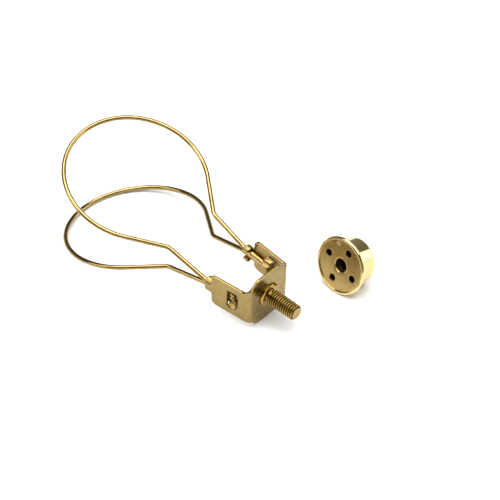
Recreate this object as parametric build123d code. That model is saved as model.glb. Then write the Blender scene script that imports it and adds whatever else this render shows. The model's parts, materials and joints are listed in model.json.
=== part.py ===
from build123d import *
from math import acos, asin, atan2, cos, degrees, hypot, radians, sin, tan
import os

# A clip-on lampshade adapter: two sprung wire loops grip a light bulb, a folded sheet bracket
# holds their tails, and a threaded stud on the bracket takes the shade and its finial nut.
# The finial lies unscrewed beside the clip.
#
# Everything on the clip is drawn in the clip frame: origin where the stud's axis meets the
# front face of the bracket, +X along the stud, +Y from the near ear to the far ear, +Z up.
# The clip then leans forward until it rests on its lower loop and the foot of its bracket,
# and the whole part is moved so that its origin is the middle of its footprint.

os.makedirs("parts", exist_ok=True)

# ---- driving dimensions, mm and degrees ----
sheet = 1.2                # bracket sheet
web_width = 21.6           # across the outer corners of the two bends
web_half_height = 11.2     # at the flat top and bottom of the web
web_flat_half = 6.0        # half length of that flat
web_shoulder = (10.4, 8.2)  # where its sloping corners end, across and up
ear_half_height = 7.25
ear_stagger = 0.85         # the far ear stands this much above the middle, the near one below
ear_length = 18.0          # bend corner to back edge, along the ear
ear_splay = 5.4            # each ear leans outward by this much
ear_corner = 2.2
bend_inside = 0.8

neck_length = 0.6          # short flat between the ear and its crimp
neck_half_height = 2.6
neck_fillet = 0.56
crimp_length = 2.6
crimp_depth = 3.7          # outer face to the tips of the two wings
crimp_inside = 0.9         # inner radius of the two folds
wing_tip_round = 0.36

wire = 1.9                 # spring wire diameter
tail_end_bevel = 0.2
fit_gap = 0.02             # between pieces that touch
hinge_gap = 0.05           # between the end of a tail and its loop
hinge_back = 22.7          # stud seat to the line where the loops flex
loop_radius = 28.4         # of the wire's centre line
fork_to_kink = 18.1        # along the loop, from the flex line
fork_to_centre = 48.9
kink_half_width = 12.4
kink_radius = 5.0
upper_opening = 16.5       # each loop's angle from the bracket's middle plane
lower_opening = 13.2
upper_roll = 1.4           # slight twist of each loop about its own length
lower_roll = -2.2

window_front = 6.3         # louver in each ear, measured along the ear from the bend
window_back = 10.5
window_half_height = 4.2
louver_ramp_end = 8.3
louver_half_height = 2.15  # at full depth
louver_drop = 2.0          # how far it stands in from the ear's inner face
louver_skin = 1.0
louver_skirt = 0.4         # how far the skin's foot spreads above and below the window
tail_past_ramp = 0.1       # how far behind the end of the ramp a tail stops

stud_radius = 3.175        # 1/4 inch thread, 27 to the inch
stud_tip = 14.2
stud_chamfer = 0.7
thread_start = 1.9
neck_radius = 2.7
collar_radius = 5.0
collar_thick = 1.1
collar_chamfer = 0.45
relief_radius = 3.35       # shallow groove round the neck, so that a washer seats flat
relief_depth = 0.15
shank_radius = 2.9
rivet_radius = 4.2
rivet_thick = 0.9
rivet_shoulder = (3.95, 0.45)  # radius of the rivet head part way, and how far back
rivet_crown_radius = 3.0

shell_sheet = 0.4
flange_radius = 11.7
lip_cover = 0.4            # flat part of the rolled edge, over the disc
throat_radius = 0.8        # between flange and cup
cup_radius = 9.1
cup_length = 11.0          # front face of the disc to the closed end
cup_corner = 1.8
cup_crown = 0.5            # rise of the closed end
crown_radius = 30.0
disc_sheet = 0.6
disc_flat_radius = 10.3    # beyond it the face drops away under the rolled edge
disc_edge_drop = 0.15
vent_radius = 1.45
vent_circle = 7.0
vent_turn = 68.5           # angle of the first vent from level
vent_count = 4
bore_radius = 2.7          # minor radius of the same thread
bore_mouth = 0.64          # rounding of the drawn neck's mouth
bore_neck = 3.6            # front face to the end of the drawn neck
bore_wall = 0.9
finial_ahead = 10.0        # from the stud seat to the centre of the finial's face, level
finial_aside = 29.6
finial_heading = 87.9      # level direction from its face to its closed end, from +X

bite = 0.05                # how far a piece reaches into the one it is fused to or cut from
well_clear = 4.0           # how far a cutting prism reaches past what it trims

# ---- derived ----
half_width = web_width / 2
wire_radius = wire / 2
tail_height = wire_radius + fit_gap
tail_depth = -(sheet + fit_gap + wire_radius)
splay = radians(ear_splay)
ear_along = Vector(-cos(splay), sin(splay), 0)
ear_out = Vector(sin(splay), cos(splay), 0)
ear_frame = Plane(origin=(0, half_width, 0), x_dir=ear_along, z_dir=ear_out)
hinge_along = (hinge_back - tail_depth * sin(splay)) / cos(splay)
rim_middle = disc_sheet / 2
rim_radius = shell_sheet + fit_gap + rim_middle
disc_radius = flange_radius - rim_radius


def on_ear(along, up, out):
    """A point given along the far ear from its bend, up it, and out from its outer face."""
    return ear_frame.from_local_coords((along, up, out))


def both_ears(far):
    """The solid given for the far ear, raised to its place, and its lower twin at the near ear."""
    near = mirror(far, about=Plane.XZ)
    return Pos(0, 0, ear_stagger) * far + Pos(0, 0, -ear_stagger) * near


# ---- bracket ----
def edges_at(body, corner):
    """The upright edges of the far corner given, and of its twin at the near ear."""
    found = []
    for edge in body.edges().filter_by(Axis.Z):
        middle = edge.center()
        if hypot(middle.X - corner.X, abs(middle.Y) - corner.Y) < bite:
            found.append(edge)
    return found


def folded_strip():
    """The U of the bracket at its full height, before its outline is cut."""
    inner_start = sheet * (1 - sin(splay)) / cos(splay)
    end_length = ear_length + neck_length
    corner_out = Vector(0, half_width, 0)
    corner_in = on_ear(inner_start, 0, -sheet)
    far = [corner_out, on_ear(end_length, 0, 0), on_ear(end_length, 0, -sheet), corner_in]
    near = [Vector(p.X, -p.Y, 0) for p in reversed(far)]
    face = make_face(Polyline([(p.X, p.Y) for p in far + near], close=True))
    strip = extrude(face, amount=web_half_height, both=True)
    strip = fillet(edges_at(strip, corner_out), bend_inside + sheet)
    return fillet(edges_at(strip, corner_in), bend_inside)


def web_region():
    """The outline of the web, as a prism through it. Half a turn maps it onto itself."""
    side = half_width + well_clear
    shoulder_across, shoulder_up = web_shoulder
    ear_top = ear_half_height + ear_stagger
    ear_bottom = ear_stagger - ear_half_height
    far = [
        (web_flat_half, web_half_height),
        (shoulder_across, shoulder_up),
        (half_width, ear_top),
        (side, ear_top),
        (side, ear_bottom),
        (half_width, ear_bottom),
        (shoulder_across, -shoulder_up),
        (web_flat_half, -web_half_height),
    ]
    near = [(-y, -z) for y, z in far]
    outline = make_face(Polyline(far + near, close=True))
    depth = bend_inside + sheet
    return extrude(Plane.YZ.offset(-depth) * outline, amount=depth + well_clear)


def ear_region():
    """The outline of one ear with its neck, as a prism through it."""
    start = bend_inside + sheet - bite
    body_length = ear_length - start
    body = Pos(start + body_length / 2, 0) * Rectangle(body_length, 2 * ear_half_height)
    body = fillet(body.vertices().group_by(Axis.X)[-1], ear_corner)
    neck = Pos(ear_length, 0) * Rectangle(2 * neck_length, 2 * neck_half_height)
    outline = body + neck
    notches = [
        v for v in outline.vertices()
        if abs(v.X - ear_length) < bite and abs(abs(v.Y) - neck_half_height) < bite
    ]
    return extrude(ear_frame * fillet(notches, neck_fillet), amount=2 * sheet, both=True)


def crimp():
    """Two wings folded inward round the stacked wire tails."""
    channel = 2 * (wire + fit_gap) + 2 * fit_gap
    start = on_ear(ear_length + neck_length - bite, 0, 0)
    across = Plane(origin=start, x_dir=-ear_out, z_dir=ear_along)
    outer = Pos(crimp_depth / 2, 0) * Rectangle(crimp_depth, channel + 2 * sheet)
    outer = fillet(outer.vertices().group_by(Axis.X)[0], wire_radius + sheet)
    slot_depth = crimp_depth - sheet
    slot = Pos(sheet + slot_depth, 0) * Rectangle(2 * slot_depth, channel)
    slot = fillet(slot.vertices().group_by(Axis.X)[0], crimp_inside)
    tips = (outer - slot).vertices().group_by(Axis.X)[-1]
    return extrude(across * fillet(tips, wing_tip_round), amount=crimp_length)


def tapered_block(base, top):
    """A loft between two rectangles on the ear: each is (start, end, half height, out)."""
    faces = []
    for start, end, half_height, out in (base, top):
        plane = Plane(origin=on_ear(0, 0, out), x_dir=ear_along, z_dir=ear_out)
        faces.append(plane * Pos((start + end) / 2, 0) * Rectangle(end - start, 2 * half_height))
    return loft(faces)


def louver_skin_solid():
    foot_height = window_half_height + louver_skirt
    base = (window_front - louver_skin, window_back, foot_height, -sheet / 2)
    full_depth = -(sheet + louver_drop + louver_skin)
    top_start = louver_ramp_end - louver_skin * 0.7
    top = (top_start, window_back, louver_half_height + louver_skin, full_depth)
    return tapered_block(base, top)


def louver_pocket():
    past_back = window_back + bite
    base = (window_front, past_back, window_half_height, bite)
    top = (louver_ramp_end, past_back, louver_half_height, -(sheet + louver_drop))
    return tapered_block(base, top)


def bracket():
    body = folded_strip() & (web_region() + both_ears(ear_region()))
    body += both_ears(crimp())
    body += both_ears(louver_skin_solid())
    body -= both_ears(louver_pocket())
    hole = Plane.YZ * Cylinder(shank_radius + fit_gap, 4 * sheet)
    return body - hole


# ---- stud ----
def threaded_stud():
    """Riveted through the web. The thread is drawn as its crest cylinder."""
    back = -sheet - fit_gap
    shoulder_radius, shoulder_back = rivet_shoulder
    outline = Polyline(
        (back - rivet_thick, 0),
        (back - rivet_thick, rivet_crown_radius),
        (back - shoulder_back, shoulder_radius),
        (back, rivet_radius),
        (back, shank_radius),
        (fit_gap, shank_radius),
        (fit_gap, collar_radius),
        (collar_thick - collar_chamfer, collar_radius),
        (collar_thick, collar_radius - collar_chamfer),
        (collar_thick, relief_radius),
        (collar_thick - relief_depth, relief_radius),
        (collar_thick - relief_depth, neck_radius),
        (thread_start, neck_radius),
        (thread_start + (stud_radius - neck_radius), stud_radius),
        (stud_tip - stud_chamfer, stud_radius),
        (stud_tip, stud_radius - stud_chamfer),
        (stud_tip, 0),
        close=True,
    )
    return revolve(make_face(outline), axis=Axis.X)


# ---- wires ----
def round_corner(before, corner, after, radius):
    """Start, middle and end of the arc that rounds a corner of a path."""
    back = (before - corner).normalized()
    ahead = (after - corner).normalized()
    half_inside = radians(back.get_angle(ahead)) / 2
    reach = radius / tan(half_inside)
    middle_way = (back + ahead).normalized()
    centre = corner + middle_way * (radius / sin(half_inside))
    return corner + back * reach, centre - middle_way * radius, corner + ahead * reach


def fork_point(side, upper):
    """Where a wire leaves its straight tail: side is 1 for the far ear, -1 for the near."""
    far = on_ear(hinge_along, 0, tail_depth)
    height = tail_height if upper else -tail_height
    return Vector(far.X, side * far.Y, height + side * ear_stagger)


def loop_path(opening, roll, upper):
    """Centre line of one loop, from its near fork point round to its far one."""
    rise = sin(radians(opening)) * (1 if upper else -1)
    along = Vector(-cos(radians(opening)), 0, rise)
    across = Vector(0, cos(radians(roll)), sin(radians(roll)))
    middle = (fork_point(1, upper) + fork_point(-1, upper)) / 2
    plane = Plane(origin=middle, x_dir=along, z_dir=along.cross(across))

    kink_angle = atan2(kink_half_width, fork_to_kink - fork_to_centre)
    kink_reach = hypot(kink_half_width, fork_to_kink - fork_to_centre)
    tangent_angle = kink_angle - acos(loop_radius / kink_reach)
    tangent_along = fork_to_centre + loop_radius * cos(tangent_angle)
    tangent_across = loop_radius * sin(tangent_angle)

    def at(u, v):
        return plane.from_local_coords((u, v))

    pieces = []
    tangents = {}
    for side in (-1, 1):
        fork = fork_point(side, upper)
        kink = at(fork_to_kink, side * kink_half_width)
        tangents[side] = at(tangent_along, side * tangent_across)
        start, middle, end = round_corner(fork, kink, tangents[side], kink_radius)
        pieces += [Line(fork, start), ThreePointArc(start, middle, end), Line(end, tangents[side])]
    far_end = at(fork_to_centre + loop_radius, 0)
    pieces.append(ThreePointArc(tangents[-1], far_end, tangents[1]))
    return Wire(pieces)


def loop_wire(opening, roll, upper):
    """The moving loop. Its ends are ball-shaped, so that it can turn against its tails."""
    path = loop_path(opening, roll, upper)
    start = fork_point(-1, upper)
    section = Plane(origin=start, z_dir=path @ 0.01 - start) * Circle(wire_radius)
    body = sweep(section, path=path)
    for side in (-1, 1):
        fork = fork_point(side, upper)
        body += Pos(fork.X, fork.Y, fork.Z) * Sphere(wire_radius)
    return body


def wire_tails(upper):
    """The two straight ends of one wire, from the flex line into the louvers."""
    height = tail_height if upper else -tail_height
    end = louver_ramp_end + tail_past_ramp
    start = hinge_along - wire_radius - hinge_gap
    plane = Plane(origin=on_ear(end, height, tail_depth), z_dir=ear_along)
    far = extrude(plane * Circle(wire_radius), amount=start - end)
    rim = far.edges().filter_by(GeomType.CIRCLE).sort_by(Axis.X)[-1]
    return both_ears(chamfer(rim, tail_end_bevel))


# ---- finial ----
def finial_tilt():
    """Lean of a finial that lies on its rolled rim and the corner of its cup."""
    rim_centre = flange_radius - rim_radius
    corner_centre = cup_radius - cup_corner
    run = cup_length - cup_crown - cup_corner - rim_middle
    return atan2(rim_centre - corner_centre, run) + asin(
        (rim_radius - cup_corner) / hypot(run, rim_centre - corner_centre)
    )


def finial_frame():
    """Local +Z points out of the finial's face, +X is level."""
    tilt = finial_tilt()
    heading = radians(finial_heading)
    to_closed_end = Vector(cos(heading) * cos(tilt), sin(heading) * cos(tilt), -sin(tilt))
    level = to_closed_end.cross(Vector(0, 0, 1)).normalized()
    height = rim_middle * sin(tilt) + (flange_radius - rim_radius) * cos(tilt) + rim_radius
    return Plane(origin=(finial_ahead, finial_aside, height), x_dir=level, z_dir=-to_closed_end)


def finial_shell():
    """A drawn cup whose flange is rolled over the edge of the disc."""
    half = shell_sheet / 2
    lip = fit_gap + half
    behind_disc = -disc_sheet - fit_gap - half
    edge = flange_radius - half
    wall = cup_radius - half
    back = cup_crown + half - cup_length
    rolled = (lip - behind_disc) * 0.49
    middle = FilletPolyline(
        (edge - rim_radius - lip_cover, lip),
        (edge, lip),
        (edge, behind_disc),
        (wall, behind_disc),
        (wall, back),
        (wall / 2, back - cup_crown),
        (0, back - cup_crown),
        radius=[rolled, rolled, throat_radius, cup_corner - half, crown_radius],
    )
    return revolve(Plane.XZ * trace(middle, shell_sheet), axis=Axis.Z)


def finial_disc():
    """Pressed disc with its vents and a drawn, tapped neck in its middle."""
    outline = Polyline(
        (bore_radius, 0),
        (disc_flat_radius, 0),
        (disc_radius, -disc_edge_drop),
        (disc_radius, -disc_sheet),
        (bore_radius + bore_wall, -disc_sheet),
        (bore_radius + bore_wall, -bore_neck),
        (bore_radius, -bore_neck),
        close=True,
    )
    body = revolve(Plane.XZ * make_face(outline), axis=Axis.Z)
    top_circles = body.edges().filter_by(GeomType.CIRCLE).group_by(Axis.Z)[-1]
    body = fillet(top_circles.sort_by(SortBy.RADIUS)[0], bore_mouth)
    for index in range(vent_count):
        angle = radians(vent_turn + 360 / vent_count * index)
        at = Pos(vent_circle * cos(angle), vent_circle * sin(angle), 0)
        body -= at * Cylinder(vent_radius, 4 * disc_sheet)
    return body


# ---- placing ----
def clip_tilt():
    """Lean of the clip when its lower loop and the foot of its web rest on one level."""
    opening = radians(lower_opening)
    reach = fork_to_centre + loop_radius
    back = hinge_back + reach * cos(opening)
    drop = tail_height + reach * sin(opening) - web_half_height
    return atan2(drop, back) + asin(wire_radius / hypot(drop, back))


def main():
    clip = {
        "bracket": bracket(),
        "threaded_stud": threaded_stud(),
        "upper_wire_loop": loop_wire(upper_opening, upper_roll, True),
        "lower_wire_loop": loop_wire(lower_opening, lower_roll, False),
        "upper_wire_tails": wire_tails(True),
        "lower_wire_tails": wire_tails(False),
    }
    finial = {"finial_shell": finial_shell(), "finial_disc": finial_disc()}
    lean = Rot(0, degrees(clip_tilt()), 0)
    clip = {name: lean * solid for name, solid in clip.items()}
    floor = min(solid.bounding_box().min.Z for solid in clip.values())
    clip = {name: Pos(0, 0, -floor) * solid for name, solid in clip.items()}
    finial = {name: finial_frame() * solid for name, solid in finial.items()}

    pieces = {**clip, **finial}
    box = Compound(children=[Compound(solid.solids()) for solid in pieces.values()]).bounding_box()
    middle = box.center()
    to_origin = Pos(-middle.X, -middle.Y, -box.min.Z)
    for name, solid in pieces.items():
        export_step(to_origin * solid, f"parts/{name}.step")
    return to_origin * Pos(0, 0, -floor) * lean, to_origin * finial_frame().location


clip_place, finial_place = main()
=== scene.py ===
import json
from math import acos, atan2, cos, hypot, pi, radians, sin, tan

import bmesh
import bpy
from mathutils import Matrix, Vector
from mathutils.geometry import delaunay_2d_cdt


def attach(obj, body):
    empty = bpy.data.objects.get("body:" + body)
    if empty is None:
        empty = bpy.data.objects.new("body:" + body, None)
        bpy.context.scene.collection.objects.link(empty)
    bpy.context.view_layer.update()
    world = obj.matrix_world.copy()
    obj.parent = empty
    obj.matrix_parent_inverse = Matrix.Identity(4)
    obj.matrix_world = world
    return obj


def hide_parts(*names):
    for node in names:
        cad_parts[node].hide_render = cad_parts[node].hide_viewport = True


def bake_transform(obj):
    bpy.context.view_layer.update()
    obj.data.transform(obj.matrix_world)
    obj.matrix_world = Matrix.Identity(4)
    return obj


# A clip-on lampshade adapter: brass-plated bracket, stud and spring wires, polished finial.
# Lengths are millimetres in each piece's own frame; its frame's matrix turns them into metres.

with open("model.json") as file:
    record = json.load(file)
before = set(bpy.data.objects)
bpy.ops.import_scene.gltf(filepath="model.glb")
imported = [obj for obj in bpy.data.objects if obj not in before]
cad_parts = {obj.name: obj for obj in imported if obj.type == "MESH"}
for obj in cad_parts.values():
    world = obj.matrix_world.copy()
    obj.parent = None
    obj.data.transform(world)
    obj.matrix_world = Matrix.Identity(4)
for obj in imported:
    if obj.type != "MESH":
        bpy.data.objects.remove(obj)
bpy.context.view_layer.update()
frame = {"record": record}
MM = 0.001
mounts = {m["name"]: m for m in frame["record"]["mounts"]}

# ---- dimensions shared with the CAD model, mm and degrees ----
SHEET = 1.2
HALF_WIDTH = 10.8
WEB_HALF_HEIGHT = 11.2
WEB_FLAT_HALF = 6.0
EAR_HALF_HEIGHT = 7.25
EAR_STAGGER = 0.85         # the far ear stands this much above the middle, the near one below
EAR_LENGTH = 18.0
EAR_CORNER = 2.2
SPLAY = radians(5.4)
BEND_OUTSIDE = 2.0
NECK_LENGTH = 0.6
NECK_HALF_HEIGHT = 2.6
CRIMP_LENGTH = 2.6
WIRE = 1.9
FIT_GAP = 0.02
WINDOW_FRONT = 6.3
WINDOW_BACK = 10.5
WINDOW_HALF_HEIGHT = 4.2
LOUVER_RAMP_END = 8.3
LOUVER_HALF_HEIGHT = 2.15
LOUVER_DROP = 2.0

HINGE_BACK = 22.7
LOOP_RADIUS = 28.4
FORK_TO_KINK = 18.1
FORK_TO_CENTRE = 48.9
KINK_HALF_WIDTH = 12.4
KINK_RADIUS = 5.0
LOOPS = {"upper": (16.5, 1.4, 1), "lower": (13.2, -2.2, -1)}  # opening, roll, side

STUD_RADIUS = 3.175
THREAD_PITCH = 1.01        # as measured; a standard 27 per inch thread has 0.94
STUD_TIP = 14.2
STUD_CHAMFER = 0.7
THREAD_START = 1.9
THREAD_DEPTH = 0.56        # share of the pitch
THREAD_ROOT = 0.15         # shares of half a pitch: the flat root and the flank
THREAD_FLANK = 0.7
THREAD_RUNOUT = 1.2        # rise of the thread out of the neck, per millimetre
GROOVE_SHADE_DEPTH = 0.26          # the thread is painted darker below this depth, as shade in its grooves
STUD_NECK = 2.7
COLLAR_RADIUS = 5.0
COLLAR_THICK = 1.1
RIVET_RADIUS = 4.2
RIVET_THICK = 0.9
STUD_MOUNT_AHEAD = 8.0     # the stud mount's point, along the stud from its seat

SHELL_SHEET = 0.4
FLANGE_RADIUS = 11.7
LIP_COVER = 0.4
THROAT_RADIUS = 0.8
CUP_RADIUS = 9.1
CUP_LENGTH = 11.0
CUP_CORNER = 1.8
CUP_CROWN = 0.5
CROWN_RADIUS = 30.0
DISC_SHEET = 0.6
VENTS = 4
VENT_RADIUS = 1.45
VENT_CIRCLE = 7.0
VENT_TURN = radians(68.5)
BORE_RADIUS = 2.7
BORE_MOUTH = 0.64
BORE_NECK = 3.6
BORE_WALL = 0.9
BORE_MOUNT_DEPTH = 2.2     # the bore mount's point, below the disc's face

# ---- frames ----
UP = Vector((0, 0, 1))
wire_radius = WIRE / 2
tail_height = wire_radius + FIT_GAP
tail_depth = SHEET + FIT_GAP + wire_radius


def frame_matrix(origin, x_axis, y_axis, z_axis):
    """From millimetres in a local frame to metres in the row frame."""
    turn = Matrix((x_axis, y_axis, z_axis)).transposed().to_4x4()
    return Matrix.Translation(origin) @ turn @ Matrix.Scale(MM, 4)


def clip_frame():
    """Origin on the bracket's front face, +X along the stud, +Y to the far ear."""
    along = Vector(mounts["stud_thread"]["axis"]).normalized()
    seat = Vector(mounts["stud_thread"]["pos_m"]) - along * STUD_MOUNT_AHEAD * MM
    across = Vector((0, 1, 0))
    return frame_matrix(seat, along, across, along.cross(across))


def finial_frame():
    """Origin in the middle of the finial's face, +Z out of it, +X level."""
    out = Vector(mounts["finial_thread"]["axis"]).normalized()
    face = Vector(mounts["finial_thread"]["pos_m"]) + out * BORE_MOUNT_DEPTH * MM
    level = (-out).cross(UP).normalized()
    return frame_matrix(face, level, out.cross(level), out)


CLIP = clip_frame()
FINIAL = finial_frame()


# ---- mesh helpers ----
def smooth_step(value):
    t = min(max(value, 0.0), 1.0)
    return t * t * (3 - 2 * t)


def add_piece(name, vertices, faces, matrix, material, body, sharp=40):
    """A smooth-shaded mesh from millimetre points, placed, painted and riding on a body."""
    mesh = bpy.data.meshes.new(name)
    mesh.from_pydata([matrix @ Vector(v) for v in vertices], [], faces)
    work = bmesh.new()
    work.from_mesh(mesh)
    bmesh.ops.remove_doubles(work, verts=work.verts, dist=1e-7)
    bmesh.ops.dissolve_degenerate(work, edges=work.edges, dist=1e-8)
    bmesh.ops.recalc_face_normals(work, faces=work.faces)
    for face in work.faces:
        face.smooth = True
    limit = radians(sharp)
    for edge in work.edges:
        edge.smooth = edge.is_manifold and edge.calc_face_angle(0) < limit
    work.to_mesh(mesh)
    work.free()
    piece = bpy.data.objects.new(name, mesh)
    bpy.context.scene.collection.objects.link(piece)
    mesh.materials.append(material)
    if body:
        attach(piece, body)
    return piece


def paint_where(piece, matrix, material, chosen):
    """A second material on the faces whose middle, in the piece's own frame, is chosen."""
    piece.data.materials.append(material)
    to_local = matrix.inverted()
    for face in piece.data.polygons:
        if chosen(to_local @ face.center):
            face.material_index = 1


def lathe(profile, steps=128, closed=False):
    """Rings of a profile of (radius, along) points turned about local Z."""
    vertices, faces = [], []
    for index in range(steps):
        angle = 2 * pi * index / steps
        for radius, along in profile:
            vertices.append((radius * cos(angle), radius * sin(angle), along))
    count = len(profile)
    spans = count if closed else count - 1
    for index in range(steps):
        here, there = index * count, (index + 1) % steps * count
        for k in range(spans):
            m = (k + 1) % count
            faces.append((here + k, there + k, there + m, here + m))
    return vertices, faces


def arc_between(before, corner, after, radius, steps):
    """Points of the arc that rounds a corner."""
    back, ahead = (before - corner).normalized(), (after - corner).normalized()
    half = back.angle(ahead) / 2
    centre = corner + (back + ahead).normalized() * radius / sin(half)
    start = corner + back * radius / tan(half) - centre
    end = corner + ahead * radius / tan(half) - centre
    return [centre + start.slerp(end, k / steps) * radius for k in range(steps + 1)]


def rounded_profile(points, radii, steps=8):
    """A polyline of (a, b) points with its inner corners rounded; radii has one per corner."""
    out = [Vector(points[0])]
    for before, corner, after, radius in zip(points, points[1:], points[2:], radii):
        before, corner, after = Vector(before), Vector(corner), Vector(after)
        out += arc_between(before, corner, after, radius, steps)
    out.append(Vector(points[-1]))
    return [tuple(p) for p in out]


def inside(point, loop):
    """Whether a flat point lies inside a closed loop of flat points."""
    x, y = point
    hit = False
    for (x0, y0), (x1, y1) in zip(loop, loop[1:] + loop[:1]):
        if (y0 > y) != (y1 > y) and x < (x1 - x0) * (y - y0) / (y1 - y0) + x0:
            hit = not hit
    return hit


def inset_loop(loop, distance):
    """A closed loop moved to its left by a distance, each corner along its bisector."""
    moved = []
    for before, here, after in zip(loop[-1:] + loop[:-1], loop, loop[1:] + loop[:1]):
        a = (Vector(here) - Vector(before)).normalized()
        b = (Vector(after) - Vector(here)).normalized()
        left_a, left_b = Vector((-a.y, a.x)), Vector((-b.y, b.x))
        bisector = left_a + left_b
        if bisector.length < 1e-6:
            bisector = left_a
        bisector.normalize()
        reach = distance / max(bisector.dot(left_a), 0.5)
        moved.append(tuple(Vector(here) + bisector * reach))
    return moved


def resample(loop, spacing):
    """A closed loop with extra points, so that no side is longer than the spacing."""
    out = []
    for a, b in zip(loop, loop[1:] + loop[:1]):
        count = max(1, round(hypot(b[0] - a[0], b[1] - a[1]) / spacing))
        for k in range(count):
            out.append((a[0] + (b[0] - a[0]) * k / count, a[1] + (b[1] - a[1]) * k / count))
    return out


RIM_STEPS = 3              # facets of a sheet's rounded edge


def pressed_sheet(outline, holes, grid, thick, fold, edge_radius, spacing):
    """A stamped sheet with softly rounded edges, drawn flat and then folded.

    outline runs anticlockwise and holes clockwise, as flat (s, z) points. grid holds the flat
    points between them. fold turns (s, z, depth) into the piece's frame, where depth runs from
    0 on the outer face to the sheet's thickness on the inner one."""
    loops = [resample(outline, spacing)] + [resample(h, spacing * 0.6) for h in holes]
    inner = [inset_loop(loop, edge_radius) for loop in loops]
    points, edges = [], []
    for loop in inner:
        first = len(points)
        points += loop
        edges += [(first + k, first + (k + 1) % len(loop)) for k in range(len(loop))]
    rim = list(points)
    clear = (spacing * 0.45) ** 2
    for p in grid:
        if not inside(p, inner[0]) or any(inside(p, hole) for hole in inner[1:]):
            continue
        if min((p[0] - q[0]) ** 2 + (p[1] - q[1]) ** 2 for q in rim) > clear:
            points.append(p)
    found = delaunay_2d_cdt([Vector(p) for p in points], edges, [], 0, 1e-6)
    flat = [(p.x, p.y) for p in found[0]]
    kept = []
    for a, b, c in found[2]:
        middle = tuple(sum(flat[i][k] for i in (a, b, c)) / 3 for k in (0, 1))
        if inside(middle, inner[0]) and not any(inside(middle, hole) for hole in inner[1:]):
            kept.append((a, b, c))
    vertices = [fold(s, z, 0) for s, z in flat] + [fold(s, z, thick) for s, z in flat]
    count = len(flat)
    faces = kept + [(c + count, b + count, a + count) for a, b, c in kept]
    turns = [pi / 2 * k / RIM_STEPS for k in range(RIM_STEPS + 1)]
    section = [(edge_radius * (1 - sin(t)), edge_radius * (1 - cos(t))) for t in turns]
    section += [(inset, thick - depth) for inset, depth in reversed(section)]
    for loop in loops:
        first = len(vertices)
        for inset, depth in section:
            vertices += [fold(s, z, depth) for s, z in inset_loop(loop, inset)]
        size = len(loop)
        for ring in range(len(section) - 1):
            low, high = first + ring * size, first + (ring + 1) * size
            for k in range(size):
                m = (k + 1) % size
                faces.append((low + k, low + m, high + m, high + k))
    return vertices, faces


def tube(path, radius, steps, end_bevel):
    """A round wire along a list of points, closed and bevelled at both ends."""
    path = [Vector(p) for p in path]
    tangents = []
    for k, here in enumerate(path):
        before, after = path[max(k - 1, 0)], path[min(k + 1, len(path) - 1)]
        tangents.append((after - before).normalized())
    side = tangents[0].orthogonal().normalized()
    vertices, faces, rings = [], [], []

    def ring(centre, tangent, ring_radius):
        nonlocal side
        side = (side - tangent * side.dot(tangent)).normalized()
        other = tangent.cross(side)
        rings.append(len(vertices))
        for k in range(steps):
            angle = 2 * pi * k / steps
            vertices.append(centre + (side * cos(angle) + other * sin(angle)) * ring_radius)

    ring(path[0], tangents[0], radius - end_bevel)
    ring(path[0] + tangents[0] * end_bevel, tangents[0], radius)
    for here, tangent in list(zip(path, tangents))[1:-1]:
        ring(here, tangent, radius)
    ring(path[-1] - tangents[-1] * end_bevel, tangents[-1], radius)
    ring(path[-1], tangents[-1], radius - end_bevel)
    for low, high in zip(rings, rings[1:]):
        for k in range(steps):
            m = (k + 1) % steps
            faces.append((low + k, low + m, high + m, high + k))
    for base, centre in ((rings[0], path[0]), (rings[-1], path[-1])):
        vertices.append(centre)
        for k in range(steps):
            faces.append((len(vertices) - 1, base + k, base + (k + 1) % steps))
    return vertices, faces


# ---- materials ----
TONE_SCALE = 260           # patches of tone, of gloss and of dents, per metre
GLOSS_SCALE = 420
DENT_SCALE = 350
GRAIN_HEIGHT = 0.00002     # metres
DENT_HEIGHT = 0.0001


def brass(name, colour, shade, roughness, grain, grain_size, dents=0.0):
    """Plated or polished brass: tone patches, uneven gloss and a fine surface grain.

    shade is the darker tone of the patches; grain and dents are strengths of the two bumps."""
    material = bpy.data.materials.new(name)
    material.use_nodes = True
    nodes, links = material.node_tree.nodes, material.node_tree.links
    shader = nodes["Principled BSDF"]
    shader.inputs["Metallic"].default_value = 1.0
    place = nodes.new("ShaderNodeTexCoord").outputs["Object"]

    def noise(scale, detail):
        texture = nodes.new("ShaderNodeTexNoise")
        texture.inputs["Scale"].default_value = scale
        texture.inputs["Detail"].default_value = detail
        links.new(place, texture.inputs["Vector"])
        return texture.outputs["Fac"]

    def remap(value, low, high, to_low, to_high):
        node = nodes.new("ShaderNodeMapRange")
        limits = {"From Min": low, "From Max": high, "To Min": to_low, "To Max": to_high}
        for key, number in limits.items():
            node.inputs[key].default_value = number
        links.new(value, node.inputs["Value"])
        return node.outputs["Result"]

    tone = nodes.new("ShaderNodeMix")
    tone.data_type = "RGBA"
    tone.inputs["A"].default_value = (*colour, 1)
    tone.inputs["B"].default_value = (*shade, 1)
    links.new(remap(noise(TONE_SCALE, 3), 0.35, 0.7, 0.0, 1.0), tone.inputs["Factor"])
    links.new(tone.outputs["Result"], shader.inputs["Base Color"])

    smudge = remap(noise(GLOSS_SCALE, 4), 0.3, 0.75, roughness * 0.8, roughness * 1.35)
    links.new(smudge, shader.inputs["Roughness"])

    fine = noise(grain_size, 2)
    bump = nodes.new("ShaderNodeBump")
    bump.inputs["Strength"].default_value = grain
    bump.inputs["Distance"].default_value = GRAIN_HEIGHT
    links.new(fine, bump.inputs["Height"])
    last = bump
    if dents:
        wide = nodes.new("ShaderNodeBump")
        wide.inputs["Strength"].default_value = dents
        wide.inputs["Distance"].default_value = DENT_HEIGHT
        links.new(noise(DENT_SCALE, 1), wide.inputs["Height"])
        links.new(bump.outputs["Normal"], wide.inputs["Normal"])
        last = wide
    links.new(last.outputs["Normal"], shader.inputs["Normal"])
    return material


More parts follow.
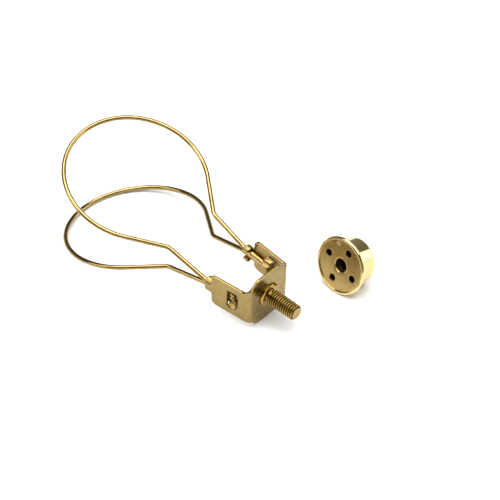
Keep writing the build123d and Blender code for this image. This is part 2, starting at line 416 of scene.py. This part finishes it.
plated_sheet = brass(
    "plated_sheet_brass", (0.31, 0.222, 0.078), (0.265, 0.187, 0.063),
    roughness=0.26, grain=0.03, grain_size=5000, dents=0.02,
)
plated_stud = brass(
    "plated_stud_brass", (0.38, 0.258, 0.064), (0.28, 0.183, 0.042),
    roughness=0.14, grain=0.1, grain_size=6000,
)
wire_brass = brass(
    "spring_wire_brass", (0.365, 0.258, 0.102), (0.28, 0.19, 0.068),
    roughness=0.13, grain=0.1, grain_size=5000,
)
polished = brass(
    "polished_brass", (0.76, 0.60, 0.28), (0.70, 0.54, 0.24),
    roughness=0.045, grain=0.03, grain_size=4000,
)
pressed = brass(
    "pressed_brass", (0.48, 0.345, 0.135), (0.42, 0.295, 0.105),
    roughness=0.33, grain=0.2, grain_size=3500, dents=0.03,
)
# painted shade: near-black brass for the inside of the finial's bore, for the shade down the hole
bore_shade = brass(
    "bore_painted_shade", (0.045, 0.026, 0.012), (0.025, 0.014, 0.006),
    roughness=0.5, grain=0.3, grain_size=4000,
)
# painted shade: near-black brass laid in the thread's grooves for the shade down in them
groove_painted_shade = brass(
    "thread_groove_painted_shade", (0.085, 0.052, 0.014), (0.05, 0.03, 0.008),
    roughness=0.3, grain=0.2, grain_size=4000,
)
# painted shade: near-black brass for the cup's hidden inside, standing in for the shade within it
cup_inside_shade = brass(
    "cup_inside_painted_shade", (0.06, 0.04, 0.02), (0.03, 0.02, 0.01),
    roughness=0.6, grain=0.3, grain_size=3000,
)


# ---- bracket ----
bend_turn = pi / 2 - SPLAY
bend_tangent = BEND_OUTSIDE * tan(bend_turn / 2)
web_flat = HALF_WIDTH - bend_tangent
bend_flat = bend_turn * (BEND_OUTSIDE - SHEET / 2)
ear_start = web_flat + bend_flat
ear_along = Vector((-cos(SPLAY), sin(SPLAY), 0))
ear_out = Vector((sin(SPLAY), cos(SPLAY), 0))
channel_half = wire_radius * 2 + FIT_GAP * 2
crimp_outside = wire_radius + SHEET
crimp_flat_half = channel_half + SHEET - crimp_outside
crimp_arc = (crimp_outside - SHEET / 2) * pi / 2
CURL_RADIUS = 1.7          # the upper wing wraps on over the wire
STRAIGHT_WING = 0.35       # its flat part before that curl
WING_LENGTH = 1.9          # flat length of each wing past its bend
LEAD_START = 1.1           # the louver's ramp starts this much ahead of its window
UPPER_RAMP = (0.2, 0.8, 0.5)    # past the window's top, width, share of the press
LOWER_RAMP_END = 4.9            # below the ear's middle
LOWER_RAMP = (2.1, 0.55)        # width, share of the press
LOUVER_WALL = (0.5, 0.75)       # the rest drops at the louver's sides: past them, width
PRESS_THINNING = 0.2       # how much thinner the pressed sheet is
SLIT = 0.16                # the cut across the louver's open end
SLIT_EASE = 1.4            # past the cut's ends the press fades over this length
EDGE_ROUND = 0.2           # of a stamped edge
MESH_SPACING = 0.45
WEB_CORNER = 1.6           # rounding of the web's corners, and of its shoulders below
SHOULDER_CORNER = 2.6
SHOULDER_RUN = 1.32        # how far a shoulder runs out for each millimetre it drops
WING_CORNER = 0.35
SQUARER_CORNER = 0.9       # the near ear's upper back corner
SQUARER_NECK = 1.4         # and how much higher its neck is there
GUIDE_RUN = 1.5            # the louver's sides run back this far under the ear
GUIDE_HEIGHTS = (2.0, 2.7)      # from the ear's middle
GRID_COARSE = 0.7          # spacing of the sheet's flat points: plain, bent, pressed, crimped
GRID_BEND = 0.22
GRID_PRESS = 0.25
GRID_CRIMP = 0.3


def on_ear(along, up, depth, side=1):
    """A point on the far (1) or near (-1) ear; depth is measured in from its outer face."""
    point = Vector((0, HALF_WIDTH, 0)) + ear_along * along - ear_out * depth
    return Vector((point.x, side * point.y, up))


def louver_press(along, up):
    """How deep the louver is pressed at a point of the ear: steep above, a long ramp below."""
    lead_in = along - WINDOW_FRONT + LEAD_START
    behind = along - WINDOW_BACK
    if lead_in < 0 or behind > 0:
        return 0.0
    lead = smooth_step(lead_in / (LOUVER_RAMP_END - WINDOW_FRONT + LEAD_START - 0.2))
    past, width = LOUVER_WALL
    wall = smooth_step((LOUVER_HALF_HEIGHT + past - abs(up)) / width)
    if up > 0:
        past, width, share = UPPER_RAMP
        ramp = smooth_step((WINDOW_HALF_HEIGHT + past - up) / width)
    else:
        width, share = LOWER_RAMP
        ramp = smooth_step((LOWER_RAMP_END + up) / width)
    sides = share * ramp + (1 - share) * wall
    past_slit = smooth_step((abs(up) - WINDOW_HALF_HEIGHT + 0.4) / 0.4)
    fade = 1 - past_slit * smooth_step((behind + SLIT_EASE) / SLIT_EASE)
    return (SHEET + LOUVER_DROP) * lead * sides * fade


def crimped(up, depth):
    """(height, depth) of a point of the crimp after its wing is folded inward."""
    side = 1 if up > 0 else -1
    past = abs(up) - crimp_flat_half
    if past <= 0:
        return up, depth
    centre_height, centre_depth = crimp_flat_half, crimp_outside
    reach = crimp_outside - depth
    turn = min(past / crimp_arc, 1) * pi / 2
    height = centre_height + reach * sin(turn)
    inward = centre_depth - reach * cos(turn)
    rest = past - crimp_arc
    if rest > 0:
        straight = rest if side < 0 else min(rest, STRAIGHT_WING)
        inward += straight
        rest -= straight
        if rest > 0:
            curl = rest / (CURL_RADIUS - SHEET / 2)
            radius = CURL_RADIUS - depth
            height += radius * (cos(curl) - 1)
            inward += radius * sin(curl)
    return side * height, inward


def fold_bracket(s, z, depth):
    """A point of the flat pattern at a depth of the sheet, folded into the clip's frame."""
    side = 1 if s >= 0 else -1
    run = abs(s)
    if run <= web_flat:
        return Vector((-depth, s, z))
    if run <= ear_start:
        turn = (run - web_flat) / bend_flat * bend_turn
        reach = BEND_OUTSIDE - depth
        x = -BEND_OUTSIDE + reach * cos(turn)
        return Vector((x, side * (web_flat + reach * sin(turn)), z))
    along = run - ear_start + bend_tangent
    rise = side * EAR_STAGGER
    height = z - rise
    press = louver_press(along, height)
    thinning = PRESS_THINNING * press / (SHEET + LOUVER_DROP) * depth / SHEET
    inward = depth + press - thinning
    curl = smooth_step((along - EAR_LENGTH - 0.1) / (NECK_LENGTH + 0.1))
    if curl > 0:
        folded_height, folded_inward = crimped(height, depth)
        height += (folded_height - height) * curl
        inward += (folded_inward - inward) * curl
    return on_ear(along, height + rise, inward, side)


def arc_points(centre, radius, start, end, steps=6):
    """Flat points of an arc from one angle to another."""
    angles = [start + (end - start) * k / steps for k in range(steps + 1)]
    return [(centre[0] + radius * cos(a), centre[1] + radius * sin(a)) for a in angles]


def quarter_outline(side, half):
    """The outline's quarter for one ear (side) and its upper or lower half, from the web out."""
    back = ear_start + EAR_LENGTH - bend_tangent
    tongue = back + NECK_LENGTH
    tip = tongue + CRIMP_LENGTH
    rise = side * half * EAR_STAGGER
    ear_height = EAR_HALF_HEIGHT + rise
    shoulder = WEB_FLAT_HALF + (WEB_HALF_HEIGHT - ear_height) * SHOULDER_RUN
    squarer = side < 0 < half
    r = SQUARER_CORNER if squarer else EAR_CORNER
    n = NECK_LENGTH / 2
    c = WING_CORNER
    neck_height = NECK_HALF_HEIGHT + (SQUARER_NECK if squarer else 0)
    web = rounded_profile(
        [(WEB_FLAT_HALF - 3, WEB_HALF_HEIGHT), (WEB_FLAT_HALF, WEB_HALF_HEIGHT),
         (shoulder, ear_height), (shoulder + 4, ear_height)], [WEB_CORNER, SHOULDER_CORNER])
    ear = arc_points((back - r, ear_height - r), r, pi / 2, 0)
    neck = neck_height + rise + n
    notch = arc_points((back + n, neck), n, pi, 2 * pi, 8)
    top = crimp_flat_half + crimp_arc + WING_LENGTH + rise
    wing_root = arc_points((tongue + c, top - c), c, pi, pi / 2, 3)
    wing_end = arc_points((tip - c, top - c), c, pi / 2, 0, 3)
    points = web[1:-1] + ear + notch + wing_root + wing_end
    return [(side * s, half * z) for s, z in points]


def bracket_outline():
    """The flat pattern's outline, anticlockwise from the lower middle to the far ear."""
    far_low = quarter_outline(1, -1)
    far_high = quarter_outline(1, 1)
    near_high = quarter_outline(-1, 1)
    near_low = quarter_outline(-1, -1)
    return far_low + far_high[::-1] + near_high + near_low[::-1]


def slit_loop(side):
    """The cut at the open end of a louver, clockwise."""
    front = ear_start + WINDOW_BACK - bend_tangent
    back = front + SLIT
    full = WINDOW_HALF_HEIGHT
    loop = [(front, -full), (front, full), (back, full), (back, -full)]
    return [(side * s, side * z + side * EAR_STAGGER) for s, z in loop]


def bracket_grid():
    """Flat points, closer together where the sheet bends."""
    stations, s = [0.0], 0.0
    tip = ear_start + EAR_LENGTH - bend_tangent + NECK_LENGTH + CRIMP_LENGTH
    while s < tip:
        along = s - ear_start + bend_tangent
        bending = web_flat - 0.3 < s < ear_start + 0.3
        pressed = WINDOW_FRONT - LEAD_START < along < WINDOW_BACK + 0.3
        crimping = along > EAR_LENGTH - 0.2
        if bending:
            s += GRID_BEND
        elif pressed:
            s += GRID_PRESS
        elif crimping:
            s += GRID_CRIMP
        else:
            s += GRID_COARSE
        stations.append(s)
    points = []
    for s in stations:
        along = s - ear_start + bend_tangent
        fine = along > WINDOW_FRONT - 1.2
        step = GRID_CRIMP if fine else GRID_COARSE
        count = int(WEB_HALF_HEIGHT / step)
        for k in range(-count, count + 1):
            points.append((s, k * step))
            if s > 0:
                points.append((-s, k * step))
    return points


def stud_hole():
    radius = STUD_NECK
    return [(radius * cos(a), -radius * sin(a)) for a in (2 * pi * k / 32 for k in range(32))]


def make_bracket():
    holes = [slit_loop(1), slit_loop(-1), stud_hole()]
    vertices, faces = pressed_sheet(
        bracket_outline(), holes, bracket_grid(), SHEET, fold_bracket, EDGE_ROUND, MESH_SPACING
    )
    piece = add_piece(
        "bracket_sheet", vertices, faces, CLIP, plated_sheet, "clip_frame", 50
    )
    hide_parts("bracket")
    vertices, faces = [], []
    for side in (-1, 1):
        for half in (-1, 1):
            louver_guide(side, half, vertices, faces)
    add_piece(
        "louver_guides", vertices, faces, CLIP, plated_sheet, "clip_frame", 30
    )


def louver_guide(side, half, vertices, faces):
    """One side of a louver where it runs back under the ear beside the wire tails."""
    first = len(vertices)
    deep = SHEET + LOUVER_DROP
    for along, low in ((WINDOW_BACK - 0.3, deep), (WINDOW_BACK + GUIDE_RUN, SHEET + 0.9)):
        for height, depth in (
            (GUIDE_HEIGHTS[0], SHEET - 0.1), (GUIDE_HEIGHTS[1], SHEET - 0.1),
            (GUIDE_HEIGHTS[1], low - 0.4), (GUIDE_HEIGHTS[1] - 0.3, low), (GUIDE_HEIGHTS[0], low),
        ):
            vertices.append(on_ear(along, half * height + side * EAR_STAGGER, depth, side))
    ring = range(5)
    faces.append([first + k for k in ring])
    faces.append([first + 5 + k for k in reversed(ring)])
    for k in ring:
        m = (k + 1) % 5
        faces.append((first + k, first + m, first + 5 + m, first + 5 + k))


# ---- stud ----
def thread_depth(turn):
    """Depth of the thread below its crest; turn is the place across one pitch, 0 to 1."""
    off = abs(turn - 0.5) * 2
    full = THREAD_PITCH * THREAD_DEPTH
    return full * (1 - smooth_step((off - THREAD_ROOT) / THREAD_FLANK))


def threaded_surface(radius_at, start, end, steps_round=72, steps_pitch=12):
    """A helical thread about local X; radius_at limits the radius along it."""
    count = int((end - start) / THREAD_PITCH * steps_pitch)
    vertices, faces = [], []
    for ring in range(count + 1):
        x = start + (end - start) * ring / count
        for k in range(steps_round):
            share = k / steps_round
            turn = (x / THREAD_PITCH - share) % 1
            r = min(STUD_RADIUS - thread_depth(turn), radius_at(x))
            vertices.append((x, r * cos(2 * pi * share), r * sin(2 * pi * share)))
    for ring in range(count):
        low, high = ring * steps_round, (ring + 1) * steps_round
        for k in range(steps_round):
            m = (k + 1) % steps_round
            faces.append((low + k, low + m, high + m, high + k))
    return vertices, faces


def about_x(vertices):
    """Turns a lathe's local Z to the stud's X."""
    return [(z, x, y) for x, y, z in vertices]


def add_stud_piece(name, vertices, faces, sharp=60):
    return add_piece(
        name, vertices, faces, CLIP, plated_stud, "clip_frame", sharp
    )


def make_stud():
    tip_flat = STUD_RADIUS - STUD_CHAMFER

    def limit(x):
        to_tip = tip_flat + (STUD_TIP - x)
        from_neck = STUD_NECK + max(x - THREAD_START, 0) * THREAD_RUNOUT
        return min(to_tip, from_neck, STUD_RADIUS)

    vertices, faces = threaded_surface(limit, THREAD_START, STUD_TIP)
    piece = add_stud_piece("stud_thread", vertices, faces, 70)
    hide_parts("threaded_stud")
    # the thread's faces deeper than this radius get the painted groove shade
    root = STUD_RADIUS - GROOVE_SHADE_DEPTH
    full_thread = THREAD_START + 0.5
    paint_where(piece, CLIP, groove_painted_shade, lambda p: hypot(p.y, p.z) < root and p.x > full_thread)

    cap = rounded_profile(
        [(tip_flat - 0.02, STUD_TIP - 0.01), (tip_flat - 0.25, STUD_TIP),
         (0.9, STUD_TIP - 0.12), (0.0, STUD_TIP - 0.12)],
        [0.1, 0.4])
    vertices, faces = lathe(cap, 72)
    add_stud_piece("stud_tip", about_x(vertices), faces)

    collar = rounded_profile(
        [(STUD_NECK, THREAD_START + 0.05), (STUD_NECK, COLLAR_THICK),
         (COLLAR_RADIUS - 0.6, COLLAR_THICK - 0.08),
         (COLLAR_RADIUS, COLLAR_THICK - 0.5), (COLLAR_RADIUS, 0.01), (STUD_NECK, 0.01)],
        [0.15, 0.35, 0.3, 0.08])
    vertices, faces = lathe(collar, 96)
    add_stud_piece("stud_collar", about_x(vertices), faces)

    back = -SHEET - 0.01
    rivet = rounded_profile(
        [(STUD_NECK, back), (RIVET_RADIUS, back), (RIVET_RADIUS - 0.35, back - RIVET_THICK * 0.75),
         (RIVET_RADIUS - 1.7, back - RIVET_THICK), (1.2, back - RIVET_THICK * 0.9),
         (0.5, back - RIVET_THICK * 0.7), (0, back - RIVET_THICK * 0.7)],
        [0.1, 0.45, 0.6, 0.3, 0.2])
    vertices, faces = lathe(rivet, 72)
    add_stud_piece("stud_rivet", about_x(vertices), faces)


# ---- wires ----
FORK_RADIUS = 3.0          # of the bend where a tail turns into its loop
WIRE_ROUND = 24            # facets round the wire
WIRE_BEVEL = 0.2


def fork_point(side, height):
    """Where a wire at that height from its ear's middle leaves its tail for the loop."""
    reach = (HINGE_BACK + tail_depth * sin(SPLAY)) / cos(SPLAY)
    return on_ear(reach, height + side * EAR_STAGGER, tail_depth, side)


def wire_path(opening, roll, side_up):
    """Centre line of one whole wire, from its near tail round the loop to its far tail."""
    height = tail_height * side_up
    forks = {side: fork_point(side, height) for side in (-1, 1)}
    tilt = radians(opening)
    along = Vector((-cos(tilt), 0, side_up * sin(tilt)))
    across = Vector((0, cos(radians(roll)), sin(radians(roll))))
    normal = along.cross(across).normalized()
    across = normal.cross(along)
    middle = (forks[1] + forks[-1]) / 2

    kink_reach = hypot(KINK_HALF_WIDTH, FORK_TO_KINK - FORK_TO_CENTRE)
    kink_angle = atan2(KINK_HALF_WIDTH, FORK_TO_KINK - FORK_TO_CENTRE)
    tangent = kink_angle - acos(LOOP_RADIUS / kink_reach)

    def on_loop(u, v):
        return middle + along * u + across * v

    def on_circle(angle):
        return on_loop(FORK_TO_CENTRE + LOOP_RADIUS * cos(angle), LOOP_RADIUS * sin(angle))

    def half(side):
        """From the tail's end to the start of the round."""
        end = on_ear(LOUVER_RAMP_END + 0.1, height + side * EAR_STAGGER, tail_depth, side)
        kink = on_loop(FORK_TO_KINK, side * KINK_HALF_WIDTH)
        steps = 14
        points = [end.lerp(forks[side], k / steps) for k in range(steps)]
        points += arc_between(end, forks[side], kink, FORK_RADIUS, 8)
        corner = arc_between(forks[side], kink, on_circle(side * tangent), KINK_RADIUS, 10)
        points += [points[-1].lerp(corner[0], k / 12) for k in range(1, 12)] + corner
        points += [corner[-1].lerp(on_circle(side * tangent), k / 10) for k in range(1, 10)]
        ahead = (forks[side] - end).normalized()
        cut = (points[steps] - end).dot(ahead)
        return [p for k, p in enumerate(points) if k >= steps or (p - end).dot(ahead) < cut - 0.1]

    count = 110
    turns = [-tangent + 2 * tangent * k / count for k in range(count + 1)]
    return half(-1) + [on_circle(a) for a in turns] + list(reversed(half(1)))


def make_wire(name, opening, roll, side_up):
    vertices, faces = tube(
        wire_path(opening, roll, side_up), wire_radius, WIRE_ROUND, WIRE_BEVEL
    )
    piece = add_piece(f"{name}_wire", vertices, faces, CLIP, wire_brass, None, 60)
    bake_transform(piece)
    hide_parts(f"{name}_wire_loop", f"{name}_wire_tails")


# ---- finial ----
def make_shell():
    """The drawn cup: its polished outer face with the rolled edge, and its inside, painted near
    black as the shade within the cup.
    """
    lip = FIT_GAP
    behind = -DISC_SHEET - FIT_GAP
    rim = SHELL_SHEET + FIT_GAP + DISC_SHEET / 2
    start = FLANGE_RADIUS - rim - LIP_COVER
    back = CUP_CROWN - CUP_LENGTH
    t = SHELL_SHEET
    rolled = rim * 0.98
    fold = DISC_SHEET * 0.45
    outer = rounded_profile(
        [(start, lip + t), (FLANGE_RADIUS, lip + t), (FLANGE_RADIUS, behind - t),
         (CUP_RADIUS, behind - t), (CUP_RADIUS, back),
         (CUP_RADIUS * 0.5, back - CUP_CROWN), (0, back - CUP_CROWN)],
        [rolled, rolled, THROAT_RADIUS, CUP_CORNER, CROWN_RADIUS], 12)
    inner = rounded_profile(
        [(0, back - CUP_CROWN + t), (CUP_RADIUS * 0.5, back - CUP_CROWN + t),
         (CUP_RADIUS - t, back + t), (CUP_RADIUS - t, behind), (FLANGE_RADIUS - t, behind),
         (FLANGE_RADIUS - t, lip), (start, lip)],
        [CROWN_RADIUS, CUP_CORNER - t, THROAT_RADIUS + t, fold, fold])
    lip_end = start - 0.12
    lip_edge = rounded_profile(
        [inner[-1], (lip_end, lip + 0.02), (lip_end, lip + t * 0.7), outer[0]], [0.06, 0.1], 4)
    vertices, faces = lathe(lip_edge[:-1] + outer, 160)
    piece = add_piece(
        "finial_cup", vertices, faces, FINIAL, polished, "finial", 50
    )
    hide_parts("finial_shell")
    # the cup's inside, painted with the shade it lies in
    vertices, faces = lathe(inner, 96)
    add_piece("finial_cup_inside", vertices, faces, FINIAL, cup_inside_shade, "finial")


STAKE_CIRCLE = 9.0
STAKE_TURN = radians(111)
STAKE_PLACE = (STAKE_CIRCLE * cos(STAKE_TURN), STAKE_CIRCLE * sin(STAKE_TURN))
STAKE_RADIUS = 0.75
STAKE_RISE = 0.35
STAKE_RING = 1.0           # radius of the shallow ring pressed round it
STAKE_RING_HALF = 0.5
STAKE_RING_DEPTH = 0.12
DISC_GRID = 0.55           # spacing of the disc's flat points
BORE_THREAD = 0.35         # depth of the thread cut in the bore
BORE_STEP = THREAD_PITCH / 8


def fold_disc(u, v, depth):
    """The disc's face, with the small stake mark near its edge."""
    away = hypot(u - STAKE_PLACE[0], v - STAKE_PLACE[1])
    bump = STAKE_RISE * smooth_step(1 - away / STAKE_RADIUS)
    ring = STAKE_RING_DEPTH * smooth_step(1 - abs(away - STAKE_RING) / STAKE_RING_HALF)
    return Vector((u, v, -depth + (bump - ring)))


def circle_loop(centre, radius, steps, clockwise=False):
    """Flat points of a circle."""
    sign = -1 if clockwise else 1
    angles = [sign * 2 * pi * k / steps for k in range(steps)]
    return [(centre[0] + radius * cos(a), centre[1] + radius * sin(a)) for a in angles]


def make_disc():
    mouth = BORE_RADIUS + BORE_MOUTH
    edge = FLANGE_RADIUS - SHELL_SHEET - DISC_SHEET / 2 - FIT_GAP
    vents = []
    for k in range(VENTS):
        angle = VENT_TURN + k * 2 * pi / VENTS
        centre = (VENT_CIRCLE * cos(angle), VENT_CIRCLE * sin(angle))
        vents.append(circle_loop(centre, VENT_RADIUS, 40, True))
    grid = []
    step = DISC_GRID
    span = int(edge / step) + 1
    for i in range(-span, span + 1):
        for j in range(-span, span + 1):
            grid.append(((i + 0.5 * (j % 2)) * step, j * step * 0.87))
    for ring in range(1, 8):
        radius = ring * 0.2
        for k in range(6 * ring):
            a = 2 * pi * k / (6 * ring)
            grid.append((STAKE_PLACE[0] + radius * cos(a), STAKE_PLACE[1] + radius * sin(a)))
    vertices, faces = pressed_sheet(
        circle_loop((0, 0), edge, 96), vents + [circle_loop((0, 0), mouth + 0.1, 96, True)],
        grid, DISC_SHEET, fold_disc, 0.1, 0.5)
    piece = add_piece(
        "finial_face", vertices, faces, FINIAL, pressed, "finial", 50
    )
    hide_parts("finial_disc")

    wall = BORE_RADIUS + BORE_WALL
    neck = [(mouth + 0.35, -0.004)] + arc_points((mouth, -BORE_MOUTH), BORE_MOUTH, pi / 2, pi, 8)
    depth = BORE_MOUTH
    while depth < BORE_NECK - 0.15:
        depth += BORE_STEP
        neck.append((BORE_RADIUS, -depth))
    neck += [(BORE_RADIUS + 0.25, -BORE_NECK), (wall - 0.1, -BORE_NECK), (wall, -BORE_NECK + 0.15),
             (wall, -DISC_SHEET - 0.3), (wall + 0.3, -DISC_SHEET + 0.004)]
    vertices, faces = lathe(neck, 96, closed=True)
    cut = []
    for x, y, z in vertices:
        radius = hypot(x, y)
        if radius < BORE_RADIUS + 0.01 and z < -BORE_MOUTH - 0.05:
            turn = (z / THREAD_PITCH - atan2(y, x) / (2 * pi)) % 1
            grow = 1 + BORE_THREAD * smooth_step(1 - abs(turn - 0.5) * 2) / radius
            x, y = x * grow, y * grow
        cut.append((x, y, z))
    piece = add_piece(
        "finial_neck", cut, faces, FINIAL, pressed, "finial", 60
    )
    # the bore below its mouth gets the painted shade
    paint_where(piece, FINIAL, bore_shade, lambda p: p.z < -BORE_MOUTH * 0.6)


# ---- studio ----
HORIZON_LIGHT = 0.36       # the room's light fades from the first to the second,
ZENITH_LIGHT = 0.06        # from the horizon up to this rise
FADE_RISE = 0.75
FLOOR_HALF = 3.0           # metres
SOFTBOXES = (              # name, place and aim in metres, size in metres, watts
    ("overhead", (0.0, 0.0, 1.2), (0, 0, 0), (1.5, 1.5), 32),
    ("right_back", (0.8, 1.0, 0.36), (0, 0, 0.02), (0.9, 0.7), 5),
    ("left_front", (-0.6, -1.0, 0.8), (0, 0, 0.02), (0.6, 0.6), 4),
)


def studio_material(name, colour, roughness):
    material = bpy.data.materials.new(name)
    material.use_nodes = True
    shader = material.node_tree.nodes["Principled BSDF"]
    shader.inputs["Base Color"].default_value = (*colour, 1)
    shader.inputs["Roughness"].default_value = roughness
    return material


def softbox(name, place, aim, size, power):
    data = bpy.data.lights.new(name, "AREA")
    data.shape = "RECTANGLE"
    data.size, data.size_y = size
    data.energy = power
    lamp = bpy.data.objects.new(name, data)
    bpy.context.scene.collection.objects.link(lamp)
    lamp.location = place
    lamp.rotation_euler = (Vector(aim) - Vector(place)).to_track_quat("-Z", "Y").to_euler()


def make_studio():
    far = FLOOR_HALF
    corners = [(-far, -far, 0), (far, -far, 0), (far, far, 0), (-far, far, 0)]
    mesh = bpy.data.meshes.new("floor")
    mesh.from_pydata(corners, [], [(0, 1, 2, 3)])
    floor = bpy.data.objects.new("floor", mesh)
    bpy.context.scene.collection.objects.link(floor)
    mesh.materials.append(studio_material("floor_white", (0.92, 0.92, 0.92), 0.9))

    world = bpy.data.worlds.new("studio")
    world.use_nodes = True
    nodes, links = world.node_tree.nodes, world.node_tree.links
    background = nodes["Background"]
    background.inputs["Color"].default_value = (1.0, 0.98, 0.95, 1)
    direction = nodes.new("ShaderNodeSeparateXYZ")
    links.new(nodes.new("ShaderNodeTexCoord").outputs["Generated"], direction.inputs["Vector"])
    fade = nodes.new("ShaderNodeMapRange")
    fade.inputs["From Min"].default_value = 0.0
    fade.inputs["From Max"].default_value = FADE_RISE
    fade.inputs["To Min"].default_value = HORIZON_LIGHT
    fade.inputs["To Max"].default_value = ZENITH_LIGHT
    links.new(direction.outputs["Z"], fade.inputs["Value"])
    links.new(fade.outputs["Result"], background.inputs["Strength"])
    bpy.context.scene.world = world
    bpy.context.scene.view_settings.view_transform = "Standard"

    for name, place, aim, size, power in SOFTBOXES:
        softbox(name, place, aim, size, power)


# ---- camera ----
VIEW_AZIMUTH = radians(44.677)
VIEW_ELEVATION = radians(41.479)
VIEW_ROLL = radians(-2.871)
VIEW_DISTANCE = 0.7555
VIEW_CENTRE = Vector((0.01589, 0.00866, 0.010))
FOCAL_SHARE = 3.904        # focal length over the picture's width
SENSOR = 36.0


def make_camera():
    data = bpy.data.cameras.new("camera")
    data.sensor_width = SENSOR
    data.lens = SENSOR * FOCAL_SHARE
    data.clip_start = 0.01
    camera = bpy.data.objects.new("camera", data)
    bpy.context.scene.collection.objects.link(camera)
    level = cos(VIEW_ELEVATION)
    back = Vector((sin(VIEW_AZIMUTH) * level, -cos(VIEW_AZIMUTH) * level, sin(VIEW_ELEVATION)))
    camera.location = VIEW_CENTRE + back * VIEW_DISTANCE
    turn = back.to_track_quat("Z", "Y") @ Matrix.Rotation(VIEW_ROLL, 4, "Z").to_quaternion()
    camera.rotation_euler = turn.to_euler()
    bpy.context.scene.camera = camera


make_bracket()
make_stud()
for loop_name, (loop_opening, loop_roll, loop_side) in LOOPS.items():
    make_wire(loop_name, loop_opening, loop_roll, loop_side)
make_shell()
make_disc()
make_studio()
make_camera()
